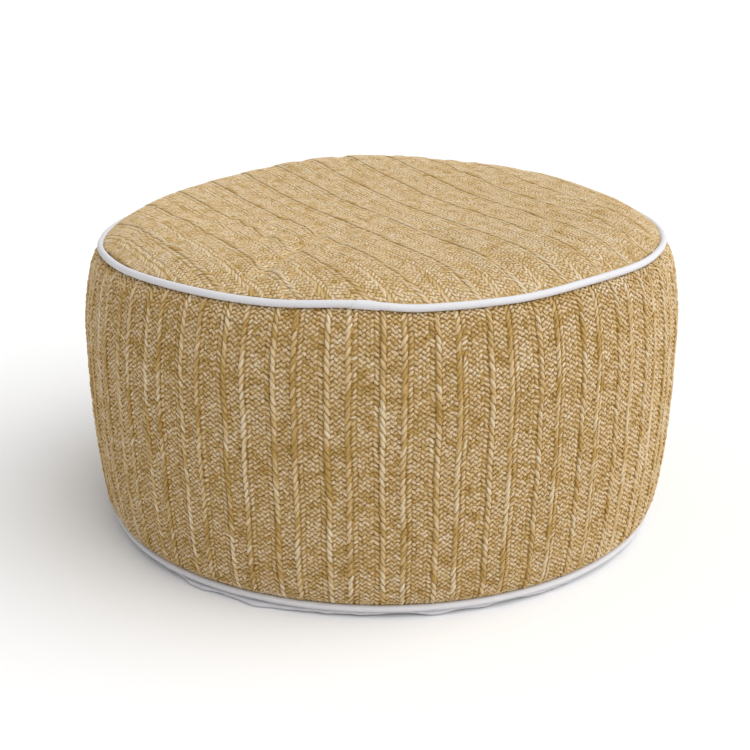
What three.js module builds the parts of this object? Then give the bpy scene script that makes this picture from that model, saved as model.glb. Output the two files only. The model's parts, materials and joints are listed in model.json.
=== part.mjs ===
// Round inflatable pouf in a ribbed knitted cover: a domed top and a bulging side meet in a white piping,
// and a second piping joins the side to a white base cloth that gathers a little where it rests on the floor.
// Millimetres, +Z up, front of the pouf towards -Y, origin on the floor under the middle of the pouf.
// Azimuths are in degrees from the front, growing towards +X.

import * as THREE from 'three';

// Seams and piping
const SEAM_RADIUS = 250;
const BOTTOM_SEAM_HEIGHT = 9;
const TOP_SEAM_HEIGHT = 259.4;
const TOP_SEAM_TILT = 2.9; // the right end of the top seam stands this much higher than its middle
const PIPING_RADIUS = 3;
const PIPING_SIDES = 8;
const PIPING_STEPS = 108;
const SEAM_GAP = 0.6; // between two panels that are sewn together

// Where the cloth turns in behind the piping: first the lip beside it, then the edge in the seam
const LIP_INSET = 0.3;
const LIP_DROP = 4.6;
const EDGE_INSET = 5.1;

// The lapped ends of each piping stand a little proud
const TOP_LAP = { azimuth: -3, halfWidth: 3, thickness: 0.5 };
const BOTTOM_LAP = { azimuth: 180, halfWidth: 3, thickness: 0.5 };

// Rise and fall of the top seam around the pouf
const SEAM_WAVE = [
  { azimuth: -150, rise: -4 },
  { azimuth: -110, rise: -6.2 },
  { azimuth: -88, rise: -5 },
  { azimuth: -64, rise: -0.8 },
  { azimuth: -42, rise: 0.9 },
  { azimuth: -20, rise: -0.1 },
  { azimuth: -6, rise: 2.1 },
  { azimuth: 7, rise: -1.8 },
  { azimuth: 22, rise: -1.5 },
  { azimuth: 42, rise: 1.4 },
  { azimuth: 66, rise: -1.6 },
  { azimuth: 88, rise: -4.7 },
  { azimuth: 110, rise: -5.9 },
  { azimuth: 150, rise: 0.4 },
];

// The knit repeats a pair of rope ribs: a place across one repeat, and the depth below the rib crests there
const KNIT_REPEAT = 42;
const KNIT_SECTION = [
  { at: -3.5, depth: 2.1 },
  { at: -1.7, depth: 0.1 },
  { at: 1.7, depth: 0.1 },
  { at: 3.5, depth: 1.9 },
  { at: 12.6, depth: 1.9 },
  { at: 14.2, depth: 0.3 },
  { at: 17.4, depth: 0.3 },
  { at: 19.1, depth: 2.1 },
];

// Side: repeats around it, and how far the rib crests stand out past the seams at each share of its height
const SIDE_REPEATS = 40;
const SIDE_BULGE = [
  { share: 0.02, out: 3.2, relief: 0.5 },
  { share: 0.12, out: 10.8, relief: 1 },
  { share: 0.3, out: 15.6, relief: 1 },
  { share: 0.5, out: 17.8, relief: 1 },
  { share: 0.7, out: 18.2, relief: 1 },
  { share: 0.88, out: 13.2, relief: 1 },
  { share: 0.98, out: 3.2, relief: 0.5 },
];

// Top: a flat dome with a rounded shoulder, which is fuller and a little swollen towards the back
const TOP_RADIUS = 248.5;
const TOP_LIP_RISE = 3.5;
const CROWN_RISE = 22.4;
const CROWN_POWER = { front: 9.5, back: 16 };
const BACK_SWELL = { x: -52, y: 281, rise: 13.3, spread: 84, fade: 8.3 };
const TOP_REPEAT = 38.35;
const TOP_RIB_TURN = 27.4; // degrees from the view axis, the far ends leaning to the left
const TOP_RIB_PHASE = -212; // place of the leftmost rope rib, across the ribs from the middle
const TOP_RIB_BOW = 15.3; // how far the ends of a middle rib bend to the right
const RIM_FADE = 9; // the ribs flatten over this distance into the seam
const FLAT_STEP = 42;
const SHOULDER_RADII = [195, 220, 235, 243];
const POLE_ROWS = [0, 0.8, 3.2];

// Pinch creases across the ribs at the front left of the top, from one end to the other
const CREASES = [
  { fromX: -47, fromY: -105, toX: -100, toY: -186, depth: 3.0, jog: 3.0 },
  { fromX: -86, fromY: -48, toX: -96, toY: -128, depth: 2.2, jog: 2.5 },
  { fromX: -125, fromY: -57, toX: -160, toY: -82, depth: 1.8, jog: 1.6 },
];
const CREASE_WIDTH = 7;
const JOG_REACH = 26;
const JOG_SOFTNESS = 4;
const LEAST_STEP = 1; // points along a row lie at least this far apart

// Base cloth: how far its gathers reach out over the floor, eased between these places
const BASE_REACH = [
  { azimuth: -66, reach: 5 },
  { azimuth: -54, reach: 1 },
  { azimuth: -38, reach: 15 },
  { azimuth: -32, reach: 12 },
  { azimuth: -24, reach: 16 },
  { azimuth: -14, reach: 10.5 },
  { azimuth: -3, reach: 9 },
  { azimuth: 2, reach: 4.5 },
  { azimuth: 10, reach: 13 },
  { azimuth: 14.5, reach: 6.5 },
  { azimuth: 18, reach: 9.5 },
  { azimuth: 24, reach: 4 },
  { azimuth: 35, reach: 9 },
  { azimuth: 44, reach: 2 },
  { azimuth: 56, reach: 1 },
  { azimuth: 72, reach: 6 },
  { azimuth: 84, reach: 2 },
  { azimuth: 98, reach: 9 },
  { azimuth: 112, reach: 3 },
  { azimuth: 127, reach: 11 },
  { azimuth: 143, reach: 4 },
  { azimuth: 158, reach: 9 },
  { azimuth: 172, reach: 5 },
  { azimuth: 187, reach: 10 },
  { azimuth: 203, reach: 3 },
  { azimuth: 220, reach: 10 },
  { azimuth: 238, reach: 4 },
  { azimuth: 252, reach: 8 },
  { azimuth: 266, reach: 2 },
  { azimuth: 280, reach: 8 },
];
const FULL_REACH = 16;
const BASE_STEPS = 180;

// Turn of the base cloth from the seam down to the floor: where it lies between gathers, and how much
// further out a full gather stands
const BASE_TURN = [
  { radius: 245, bulge: 7.8, height: 3.3 },
  { radius: 238, bulge: 14.4, height: 0.8 },
  { radius: 230, bulge: 14, height: 0 },
];

// Finishes
const STRAW_KNIT = { color: 0xc0a468, roughness: 0.9, metalness: 0 };
const WHITE_PIPING = { color: 0xe6e6ec, roughness: 0.7, metalness: 0 };
const WHITE_BASE = { color: 0xdcdce2, roughness: 0.8, metalness: 0 };

const toRadians = THREE.MathUtils.degToRad;

// Point on a circle at an azimuth from the front
function around(azimuth, radius, height) {
  const angle = toRadians(azimuth);
  return new THREE.Vector3(radius * Math.sin(angle), -radius * Math.cos(angle), height);
}

function azimuthOf(x, y) {
  return THREE.MathUtils.radToDeg(Math.atan2(x, -y));
}

// Signed turn from one azimuth to another, between -180 and 180
function turnBetween(from, to) {
  return THREE.MathUtils.euclideanModulo(to - from + 180, 360) - 180;
}

// Value of a table around the pouf at an azimuth, eased between its rows
function easedAround(table, column, azimuth) {
  let value = 0;
  table.forEach((start, i) => {
    const end = table[(i + 1) % table.length];
    const span = THREE.MathUtils.euclideanModulo(end.azimuth - start.azimuth, 360);
    const along = THREE.MathUtils.euclideanModulo(azimuth - start.azimuth, 360);
    if (along < span) {
      const share = (1 - Math.cos((Math.PI * along) / span)) / 2;
      value = THREE.MathUtils.lerp(start[column], end[column], share);
    }
  });
  return value;
}

// Rise of the top seam at an azimuth
function seamRise(azimuth) {
  return easedAround(SEAM_WAVE, 'rise', azimuth);
}

// Height of the top seam's middle line
function topSeam(azimuth) {
  return TOP_SEAM_HEIGHT + TOP_SEAM_TILT * Math.sin(toRadians(azimuth)) + seamRise(azimuth);
}

// Depth of the knit's relief at a place across the repeats
function knitDepth(place, repeat) {
  const scale = repeat / KNIT_REPEAT;
  const first = KNIT_SECTION[0];
  const offset = THREE.MathUtils.euclideanModulo(place / scale - first.at, KNIT_REPEAT) + first.at;
  for (let i = 0; i < KNIT_SECTION.length; i += 1) {
    const start = KNIT_SECTION[i];
    const end = KNIT_SECTION[i + 1] ?? { at: first.at + KNIT_REPEAT, depth: first.depth };
    if (offset >= start.at && offset <= end.at) {
      return THREE.MathUtils.mapLinear(offset, start.at, end.at, start.depth, end.depth);
    }
  }
  return first.depth;
}

function named(name, geometry, finish) {
  const mesh = new THREE.Mesh(geometry, new THREE.MeshStandardMaterial(finish));
  mesh.name = name;
  return mesh;
}

function geometryFrom(points, triangles) {
  const geometry = new THREE.BufferGeometry();
  geometry.setFromPoints(points);
  geometry.setIndex(triangles.flat());
  geometry.computeVertexNormals();
  return geometry;
}

// Closed skin over rings of equal count, listed from the top down, with a middle point closing each end
function drum(rings, topMiddle, bottomMiddle) {
  const count = rings[0].length;
  const points = [...rings.flat(), topMiddle, bottomMiddle];
  const top = rings.length * count;
  const bottom = top + 1;
  const last = (rings.length - 1) * count;
  const triangles = [];
  for (let i = 0; i < count; i += 1) {
    const next = (i + 1) % count;
    triangles.push([top, i, next], [bottom, last + next, last + i]);
    for (let ring = 0; ring + 1 < rings.length; ring += 1) {
      const a = ring * count;
      const b = a + count;
      triangles.push([a + i, b + i, b + next], [a + i, b + next, a + next]);
    }
  }
  return geometryFrom(points, triangles);
}

// Closed ring swept from sections that are listed around the pouf
function hoop(sections) {
  const sides = sections[0].length;
  const triangles = [];
  sections.forEach((section, s) => {
    const a = s * sides;
    const b = ((s + 1) % sections.length) * sides;
    for (let i = 0; i < sides; i += 1) {
      const next = (i + 1) % sides;
      triangles.push([a + i, b + i, b + next], [a + i, b + next, a + next]);
    }
  });
  return geometryFrom(sections.flat(), triangles);
}

// Piping along a seam, thicker on its outer side where its ends lap
function piping(seamHeight, lap) {
  const sections = [];
  for (let step = 0; step < PIPING_STEPS; step += 1) {
    const azimuth = (step * 360) / PIPING_STEPS;
    const away = Math.abs(turnBetween(lap.azimuth, azimuth)) / (2 * lap.halfWidth);
    const extra = lap.thickness * Math.max(0, 1 - away);
    const section = [];
    for (let side = 0; side < PIPING_SIDES; side += 1) {
      const angle = (2 * Math.PI * side) / PIPING_SIDES;
      const radius = PIPING_RADIUS + extra;
      const out = SEAM_RADIUS + extra + radius * Math.cos(angle);
      section.push(around(azimuth, out, seamHeight(azimuth) + radius * Math.sin(angle)));
    }
    sections.push(section);
  }
  return hoop(sections);
}

// Filled side: upright ribs from seam to seam, bulging between them
function sideBand() {
  const azimuths = [];
  for (let repeat = 0; repeat < SIDE_REPEATS; repeat += 1) {
    KNIT_SECTION.forEach(({ at }) => azimuths.push(((repeat + at / KNIT_REPEAT) * 360) / SIDE_REPEATS));
  }
  const places = azimuths.map((azimuth, i) => ({
    azimuth,
    depth: KNIT_SECTION[i % KNIT_SECTION.length].depth,
    top: topSeam(azimuth),
  }));
  const ring = (radius, height) => places.map((place) => around(place.azimuth, radius, height(place)));
  const half = SEAM_GAP / 2;
  const rings = [
    ring(SEAM_RADIUS - EDGE_INSET, ({ top }) => top - half),
    ring(SEAM_RADIUS - LIP_INSET, ({ top }) => top - LIP_DROP),
  ];
  [...SIDE_BULGE].reverse().forEach(({ share, out, relief }) => {
    rings.push(places.map(({ azimuth, depth, top }) => {
      const height = THREE.MathUtils.lerp(BOTTOM_SEAM_HEIGHT, top, share);
      return around(azimuth, SEAM_RADIUS + out - depth * relief, height);
    }));
  });
  rings.push(
    ring(SEAM_RADIUS - LIP_INSET, () => BOTTOM_SEAM_HEIGHT + LIP_DROP),
    ring(SEAM_RADIUS - EDGE_INSET, () => BOTTOM_SEAM_HEIGHT + half),
  );
  const topMiddle = new THREE.Vector3(0, 0, TOP_SEAM_HEIGHT - half);
  const bottomMiddle = new THREE.Vector3(0, 0, BOTTOM_SEAM_HEIGHT + half);
  return drum(rings, topMiddle, bottomMiddle);
}

// Directions across and along the ribs of the top
const ACROSS = new THREE.Vector2(Math.cos(toRadians(TOP_RIB_TURN)), Math.sin(toRadians(TOP_RIB_TURN)));
const ALONG = new THREE.Vector2(-ACROSS.y, ACROSS.x);

// Plan point of a place across the ribs and along them, with the bow of the ribs
function ribPoint(across, along) {
  const bowed = across + TOP_RIB_BOW * (along / SEAM_RADIUS) ** 2;
  return ACROSS.clone().multiplyScalar(bowed).addScaledVector(ALONG, along);
}

// How far along a rib lies its crossing with a circle, or 0 where it stays outside
function crossing(across, radius) {
  const bow = TOP_RIB_BOW / SEAM_RADIUS ** 2;
  const a = bow ** 2;
  const b = 2 * across * bow + 1;
  const c = across ** 2 - radius ** 2;
  return c >= 0 ? 0 : Math.sqrt((-b + Math.sqrt(b ** 2 - 4 * a * c)) / (2 * a));
}

// Each crease as a line over the ribs, in places across and along them
const CREASE_LINES = CREASES.map(({ fromX, fromY, toX, toY, depth, jog }) => {
  const from = new THREE.Vector2(fromX, fromY);
  const to = new THREE.Vector2(toX, toY);
  const start = { across: from.dot(ACROSS), along: from.dot(ALONG) };
  const end = { across: to.dot(ACROSS), along: to.dot(ALONG) };
  return { start, end, depth, jog };
});

// Strength of a crease on one rib, and where along the rib it lies
function creaseOn(line, across) {
  const share = (across - line.start.across) / (line.end.across - line.start.across);
  const strength = share > 0 && share < 1 ? Math.sqrt(Math.sin(Math.PI * share)) : 0;
  return { strength, along: THREE.MathUtils.lerp(line.start.along, line.end.along, share) };
}

// Point on the top, with its dome, ribs and creases
function topPoint(across, along) {
  let dip = 0;
  let jog = 0;
  CREASE_LINES.forEach((line) => {
    const crease = creaseOn(line, across);
    const offset = crease.along - along;
    dip += line.depth * crease.strength * Math.exp(-((offset / CREASE_WIDTH) ** 2));
    const nearness = Math.exp(-Math.abs(offset) / JOG_REACH);
    jog += line.jog * crease.strength * nearness * Math.tanh(offset / JOG_SOFTNESS);
  });
  const plan = ribPoint(across, along).addScaledVector(ACROSS, jog);
  const share = Math.min(1, plan.length() / TOP_RADIUS);
  const level = TOP_SEAM_HEIGHT + TOP_SEAM_TILT * (plan.x / SEAM_RADIUS);
  const azimuth = azimuthOf(plan.x, plan.y);
  const wave = seamRise(azimuth) * share ** 4;
  const behind = (1 - Math.cos(toRadians(azimuth))) / 2;
  const power = THREE.MathUtils.lerp(CROWN_POWER.front, CROWN_POWER.back, behind);
  const dome = TOP_LIP_RISE + (CROWN_RISE - TOP_LIP_RISE) * (1 - share ** power);
  const away = Math.hypot(plan.x - BACK_SWELL.x, plan.y - BACK_SWELL.y) / BACK_SWELL.spread;
  const swell = BACK_SWELL.rise * Math.exp(-(away ** 2) / 2) * (1 - share ** BACK_SWELL.fade);
  const fade = Math.min(1, (TOP_RADIUS * (1 - share)) / RIM_FADE);
  const relief = knitDepth(across - TOP_RIB_PHASE, TOP_REPEAT) * fade;
  return new THREE.Vector3(plan.x, plan.y, level + wave + dome + swell - relief - dip * fade);
}

// Places across the top where a row of points runs along the ribs
function ribRows() {
  const rows = POLE_ROWS.flatMap((inset) => [inset - TOP_RADIUS, TOP_RADIUS - inset]);
  const limit = TOP_RADIUS - 2 * POLE_ROWS[POLE_ROWS.length - 1];
  const scale = TOP_REPEAT / KNIT_REPEAT;
  const repeats = Math.ceil((2 * TOP_RADIUS) / TOP_REPEAT) + 1;
  for (let repeat = -1; repeat < repeats; repeat += 1) {
    KNIT_SECTION.forEach(({ at }) => {
      const across = TOP_RIB_PHASE + repeat * TOP_REPEAT + at * scale;
      if (Math.abs(across) < limit) {
        rows.push(across);
      }
    });
  }
  return rows.sort((a, b) => a - b);
}

// Places along one row: even steps on the flat, closer ones on the shoulder and at the creases
function placesAlong(across) {
  const end = crossing(across, TOP_RADIUS);
  if (end < LEAST_STEP) {
    return [0];
  }
  const places = new Set([-end, end]);
  SHOULDER_RADII.forEach((radius) => {
    const place = crossing(across, radius);
    if (place > 0) {
      places.add(place).add(-place);
    }
  });
  const flat = crossing(across, SHOULDER_RADII[0]) - FLAT_STEP / 3;
  for (let place = 0; place < flat; place += FLAT_STEP) {
    places.add(place).add(-place);
  }
  CREASE_LINES.forEach((line) => {
    const crease = creaseOn(line, across);
    if (crease.strength > 0) {
      [-1, 0, 1].forEach((side) => places.add(crease.along + side * CREASE_WIDTH));
    }
  });
  const sorted = [...places].filter((place) => Math.abs(place) <= end).sort((a, b) => a - b);
  const isEnd = (i) => i === 0 || i === sorted.length - 1;
  return sorted.filter((place, i) => isEnd(i) || place - sorted[i - 1] > LEAST_STEP);
}

// Triangles between two neighbouring rows, stepping along whichever row is behind
function zip(lower, upper, triangles) {
  let i = 0;
  let j = 0;
  while (i + 1 < lower.length || j + 1 < upper.length) {
    const nextLower = i + 1 < lower.length ? lower[i + 1].along : Infinity;
    const nextUpper = j + 1 < upper.length ? upper[j + 1].along : Infinity;
    if (nextLower <= nextUpper) {
      triangles.push([lower[i].index, upper[j].index, lower[i + 1].index]);
      i += 1;
    } else {
      triangles.push([lower[i].index, upper[j].index, upper[j + 1].index]);
      j += 1;
    }
  }
}

// Domed top: rows along the ribs, closed below by the turned-in edge and a middle point
function topPanel() {
  const points = [];
  const triangles = [];
  const rows = ribRows().map((across) => placesAlong(across).map((along) => {
    points.push(topPoint(across, along));
    return { along, index: points.length - 1 };
  }));
  for (let row = 0; row + 1 < rows.length; row += 1) {
    zip(rows[row], rows[row + 1], triangles);
  }
  const nearEnds = rows.map((row) => row[0].index);
  const farEnds = rows.slice(1, -1).map((row) => row[row.length - 1].index).reverse();
  const rim = [...nearEnds, ...farEnds];
  const edge = rim.map((index) => {
    const azimuth = azimuthOf(points[index].x, points[index].y);
    points.push(around(azimuth, SEAM_RADIUS - EDGE_INSET, topSeam(azimuth) + SEAM_GAP / 2));
    return points.length - 1;
  });
  points.push(new THREE.Vector3(0, 0, TOP_SEAM_HEIGHT + SEAM_GAP / 2));
  const middle = points.length - 1;
  rim.forEach((index, i) => {
    const next = (i + 1) % rim.length;
    triangles.push([index, edge[i], edge[next]], [index, edge[next], rim[next]]);
    triangles.push([edge[i], middle, edge[next]]);
  });
  return geometryFrom(points, triangles);
}

// Base cloth: from the seam round to a flat rest on the floor, bulging at the gathers
function basePanel() {
  const places = Array.from({ length: BASE_STEPS }, (_, i) => {
    const azimuth = (i * 360) / BASE_STEPS;
    return { azimuth, full: easedAround(BASE_REACH, 'reach', azimuth) / FULL_REACH };
  });
  const half = SEAM_GAP / 2;
  const ring = (radius, height) => places.map(({ azimuth, full }) => around(azimuth, radius(full), height));
  const rings = [
    ring(() => SEAM_RADIUS - EDGE_INSET, BOTTOM_SEAM_HEIGHT - half),
    ring(() => SEAM_RADIUS - LIP_INSET, BOTTOM_SEAM_HEIGHT - LIP_DROP),
    ...BASE_TURN.map(({ radius, bulge, height }) => ring((full) => radius + bulge * full, height)),
  ];
  const topMiddle = new THREE.Vector3(0, 0, BOTTOM_SEAM_HEIGHT - half);
  return drum(rings, topMiddle, new THREE.Vector3(0, 0, 0));
}

const pouf = new THREE.Group();
pouf.add(
  named('top_panel', topPanel(), STRAW_KNIT),
  named('side_band', sideBand(), STRAW_KNIT),
  named('base_panel', basePanel(), WHITE_BASE),
  named('top_piping', piping(topSeam, TOP_LAP), WHITE_PIPING),
  named('bottom_piping', piping(() => BOTTOM_SEAM_HEIGHT, BOTTOM_LAP), WHITE_PIPING),
);

export default pouf;
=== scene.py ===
"""Dresses the round inflatable pouf: a space-dyed straw knit over its air-filled body, white piping on both
seams and a gathered white base cloth, on a pale floor in soft studio light.

Sizes are millimetres until a mesh is made. Azimuths are degrees from the front, growing towards +X.
"""

import json
import logging
import math
from abc import ABC, abstractmethod
from dataclasses import dataclass, field
from enum import Enum
from typing import Callable

import bpy
import numpy as np
from bpy.types import Material, Node, NodeSocket, Object, ShaderNodeTree
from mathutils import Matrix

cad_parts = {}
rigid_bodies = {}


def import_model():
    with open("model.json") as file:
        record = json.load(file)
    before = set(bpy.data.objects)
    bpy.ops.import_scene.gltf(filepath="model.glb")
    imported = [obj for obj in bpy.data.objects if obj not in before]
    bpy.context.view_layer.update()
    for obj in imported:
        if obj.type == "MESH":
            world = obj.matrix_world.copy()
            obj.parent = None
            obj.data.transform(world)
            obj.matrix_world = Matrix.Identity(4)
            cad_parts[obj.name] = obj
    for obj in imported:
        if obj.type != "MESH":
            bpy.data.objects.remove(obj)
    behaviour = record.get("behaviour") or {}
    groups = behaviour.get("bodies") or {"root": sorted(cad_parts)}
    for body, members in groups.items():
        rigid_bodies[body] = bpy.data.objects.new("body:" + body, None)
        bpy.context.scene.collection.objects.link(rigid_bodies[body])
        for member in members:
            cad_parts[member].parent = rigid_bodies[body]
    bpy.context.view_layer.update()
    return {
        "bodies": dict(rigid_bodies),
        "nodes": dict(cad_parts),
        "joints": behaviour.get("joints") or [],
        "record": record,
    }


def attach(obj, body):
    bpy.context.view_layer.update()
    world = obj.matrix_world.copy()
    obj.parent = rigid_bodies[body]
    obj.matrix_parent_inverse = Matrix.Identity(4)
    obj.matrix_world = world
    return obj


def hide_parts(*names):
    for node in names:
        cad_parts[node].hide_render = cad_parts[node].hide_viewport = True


MM = 0.001
BODY = "root"
LOG = logging.getLogger("pouf")

Array = np.ndarray
Colour = tuple[float, float, float, float]
Table = tuple[tuple[float, float], ...]
Surface = Callable[[Array, Array, Array], Array]


def columns_of(points: Table) -> tuple[Array, Array]:
    """Places and values of a short table's rows."""
    x, y = (np.array(column, float) for column in zip(*points))
    return x, y


def row_before(x: Array, at: Array) -> Array:
    """Number of the row that lies before each place, which is never the last row."""
    return np.clip(np.searchsorted(x, at, side="right") - 1, 0, len(x) - 2)


def monotone_slopes(x: Array, y: Array) -> Array:
    """Slopes for a smooth curve that doesn't overshoot its points.

    Args:
        x: Places of the points, rising.
        y: Values of the points.

    Returns:
        The slope of the curve at each point.
    """
    step = np.diff(x)
    rate = np.diff(y) / step
    slopes = np.zeros_like(y)
    before, after = rate[:-1], rate[1:]
    turning = before * after <= 0
    weight_before, weight_after = 2 * step[1:] + step[:-1], step[1:] + 2 * step[:-1]
    safe_before, safe_after = np.where(turning, 1, before), np.where(turning, 1, after)
    mean = (weight_before + weight_after) / (weight_before / safe_before + weight_after / safe_after)
    slopes[1:-1] = np.where(turning, 0, mean)
    slopes[0], slopes[-1] = rate[0], rate[-1]
    return slopes


def smooth_curve(at: Array, points: Table) -> Array:
    """Reads a smooth curve through a short table.

    Args:
        at: Places to read.
        points: Place and value of each row of the table.

    Returns:
        The curve's value at each place.
    """
    x, y = columns_of(points)
    slopes = monotone_slopes(x, y)
    at = np.clip(at, x[0], x[-1])
    i = row_before(x, at)
    step = x[i + 1] - x[i]
    t = (at - x[i]) / step
    rest = 1 - t
    start = (1 + 2 * t) * rest**2 * y[i] + t * rest**2 * step * slopes[i]
    end = t**2 * (3 - 2 * t) * y[i + 1] - t**2 * rest * step * slopes[i + 1]
    return start + end


def eased_ring(at: Array, points: Table, period: float) -> Array:
    """Reads a table that closes on itself, easing from row to row.

    Args:
        at: Places to read.
        points: Place and value of each row, within one period.
        period: Length after which the table repeats.

    Returns:
        The eased value at each place.
    """
    x, y = columns_of(points)
    x, y = np.append(x, x[0] + period), np.append(y, y[0])
    at = (at - x[0]) % period + x[0]
    i = row_before(x, at)
    t = (at - x[i]) / (x[i + 1] - x[i])
    return y[i] + (y[i + 1] - y[i]) * (1 - np.cos(np.pi * t)) / 2


def read_ring_grid(grid: Array, azimuth: Array, share: Array) -> Array:
    """Reads a grid of values that goes round the pouf.

    Args:
        grid: Values by step round the pouf and by row.
        azimuth: Azimuths to read.
        share: Places between the first row, 0, and the last, 1.

    Returns:
        The value at each place, straight between the grid's points.
    """
    steps, rows = grid.shape
    a = (azimuth % 360) / 360 * steps
    b = np.clip(share, 0, 1) * (rows - 1)
    i, j = a.astype(int) % steps, np.minimum(b.astype(int), rows - 2)
    u, v = a - np.floor(a), b - j
    k = (i + 1) % steps
    low = grid[i, j] * (1 - u) + grid[k, j] * u
    high = grid[i, j + 1] * (1 - u) + grid[k, j + 1] * u
    return low * (1 - v) + high * v


@dataclass(frozen=True)
class Ripple:
    """Small wave with a drifting beat: its height and pace, then the drift's reach, pace and start."""

    height: float
    pace: float
    drift: float
    drift_pace: float
    drift_start: float = 0.0

    def at(self, along: Array, beside: Array) -> Array:
        """Wave at places along it, where the places beside it say how far its beat has drifted."""
        beat = self.drift * np.sin(self.drift_pace * beside + self.drift_start)
        return self.height * np.sin(self.pace * along + beat)


def around(azimuth: Array, radius: Array | float, height: Array | float) -> Array:
    """Points at azimuths, radii and heights.

    Args:
        azimuth: Degrees from the front.
        radius: Distance from the pouf's axis.
        height: Height above the floor.

    Returns:
        One row of x, y and z for each point.
    """
    turn = np.radians(azimuth)
    x, y, z = np.broadcast_arrays(radius * np.sin(turn), -radius * np.cos(turn), height)
    return np.stack([x, y, z], -1)


def azimuth_of(x: Array, y: Array) -> Array:
    """Azimuth of points on the floor plan, in degrees."""
    return np.degrees(np.arctan2(x, -y))


def deselect_all() -> None:
    """Leaves object mode's selection empty, so that an operator acts on the new piece alone."""
    if bpy.context.object and bpy.context.object.mode != "OBJECT":
        bpy.ops.object.mode_set(mode="OBJECT")
    bpy.ops.object.select_all(action="DESELECT")


def make_active(piece: Object) -> None:
    """Selects one piece alone and makes it active.

    Args:
        piece: The piece.
    """
    deselect_all()
    piece.select_set(True)
    bpy.context.view_layer.objects.active = piece


def corners_of(piece: Object) -> Array:
    """Reads the corner points of a mesh object.

    Args:
        piece: The object.

    Returns:
        One row of x, y and z for each point, in metres.
    """
    points = np.zeros(len(piece.data.vertices) * 3, np.float32)
    piece.data.vertices.foreach_get("co", points)
    return points.reshape(-1, 3)


def skin(name: str, points: Array, *faces: Array) -> Object:
    """Makes a smooth-shaded mesh object.

    Args:
        name: Name of the object.
        points: Corner points in millimetres, one row each.
        faces: Arrays of corner numbers, each of one face size.

    Returns:
        The new object, at the origin.
    """
    mesh = bpy.data.meshes.new(name)
    corners = np.concatenate([group.ravel() for group in faces]).astype(np.int32)
    sizes = np.concatenate([np.full(len(group), group.shape[1]) for group in faces])
    mesh.vertices.add(len(points))
    mesh.vertices.foreach_set("co", (points * MM).astype(np.float32).ravel())
    mesh.loops.add(len(corners))
    mesh.loops.foreach_set("vertex_index", corners)
    mesh.polygons.add(len(sizes))
    mesh.polygons.foreach_set("loop_start", (np.cumsum(sizes) - sizes).astype(np.int32))
    mesh.update(calc_edges=True)
    mesh.validate()
    mesh.shade_smooth()
    piece = bpy.data.objects.new(name, mesh)
    bpy.context.scene.collection.objects.link(piece)
    return piece


def grid_quads(rows: int, columns: int, closed: bool) -> Array:
    """Faces over a grid of points that are numbered row by row.

    Args:
        rows: Rows of points.
        columns: Points in each row.
        closed: Whether each row closes on itself.

    Returns:
        Corner numbers of the faces, turning from the next column to the next row.
    """
    spans = columns if closed else columns - 1
    i, j = np.meshgrid(np.arange(rows - 1), np.arange(spans), indexing="ij")
    after = (j + 1) % columns
    low, high = i * columns, (i + 1) * columns
    return np.stack([low + j, low + after, high + after, high + j], -1).reshape(-1, 4)


def fan(ring: Array, middle: int, upward: bool) -> Array:
    """Triangles from a ring of points to its middle.

    Args:
        ring: Point numbers round the ring, by growing azimuth.
        middle: Point number of the middle.
        upward: Whether the faces look up.

    Returns:
        Corner numbers of the triangles.
    """
    after = np.roll(ring, -1)
    pair = (ring, after) if upward else (after, ring)
    return np.stack([*pair, np.full(len(ring), middle)], -1)


def closed_rings(name: str, points: Array) -> Object:
    """Makes a closed form of rings of points, stacked from the lowest one.

    Args:
        name: Name of the object.
        points: The rings' points, by ring and by growing azimuth.

    Returns:
        The new object, whose last two points are the middles of its lowest and highest ring.
    """
    rings, steps = points.shape[:2]
    flat = points.reshape(-1, 3)
    ends = np.array([[0, 0, ring[:, 2].mean()] for ring in (points[0], points[-1])])
    lowest = np.arange(steps)
    highest = lowest + (rings - 1) * steps
    return skin(
        name,
        np.concatenate([flat, ends]),
        grid_quads(rings, steps, True),
        fan(lowest, len(flat), False),
        fan(highest, len(flat) + 1, True),
    )


class Slot(Enum):
    """Material slots of the record."""

    KNIT = "straw_knit"
    PIPING = "white_piping"
    BASE = "base_cloth"


def settle(piece: Object, material: Material, slot: Slot, *nodes: str) -> None:
    """Gives a finished piece its material and its body, and hides the solids that it stands for.

    Args:
        piece: The finished piece.
        material: Its material.
        slot: The record's material slot; not used.
        nodes: The solids that it replaces.
    """
    piece.data.materials.clear()
    piece.data.materials.append(material)
    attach(piece, BODY)
    if nodes:
        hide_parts(*nodes)
    piece.data.calc_loop_triangles()
    LOG.info("%s: %d triangles", piece.name, len(piece.data.loop_triangles))


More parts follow.
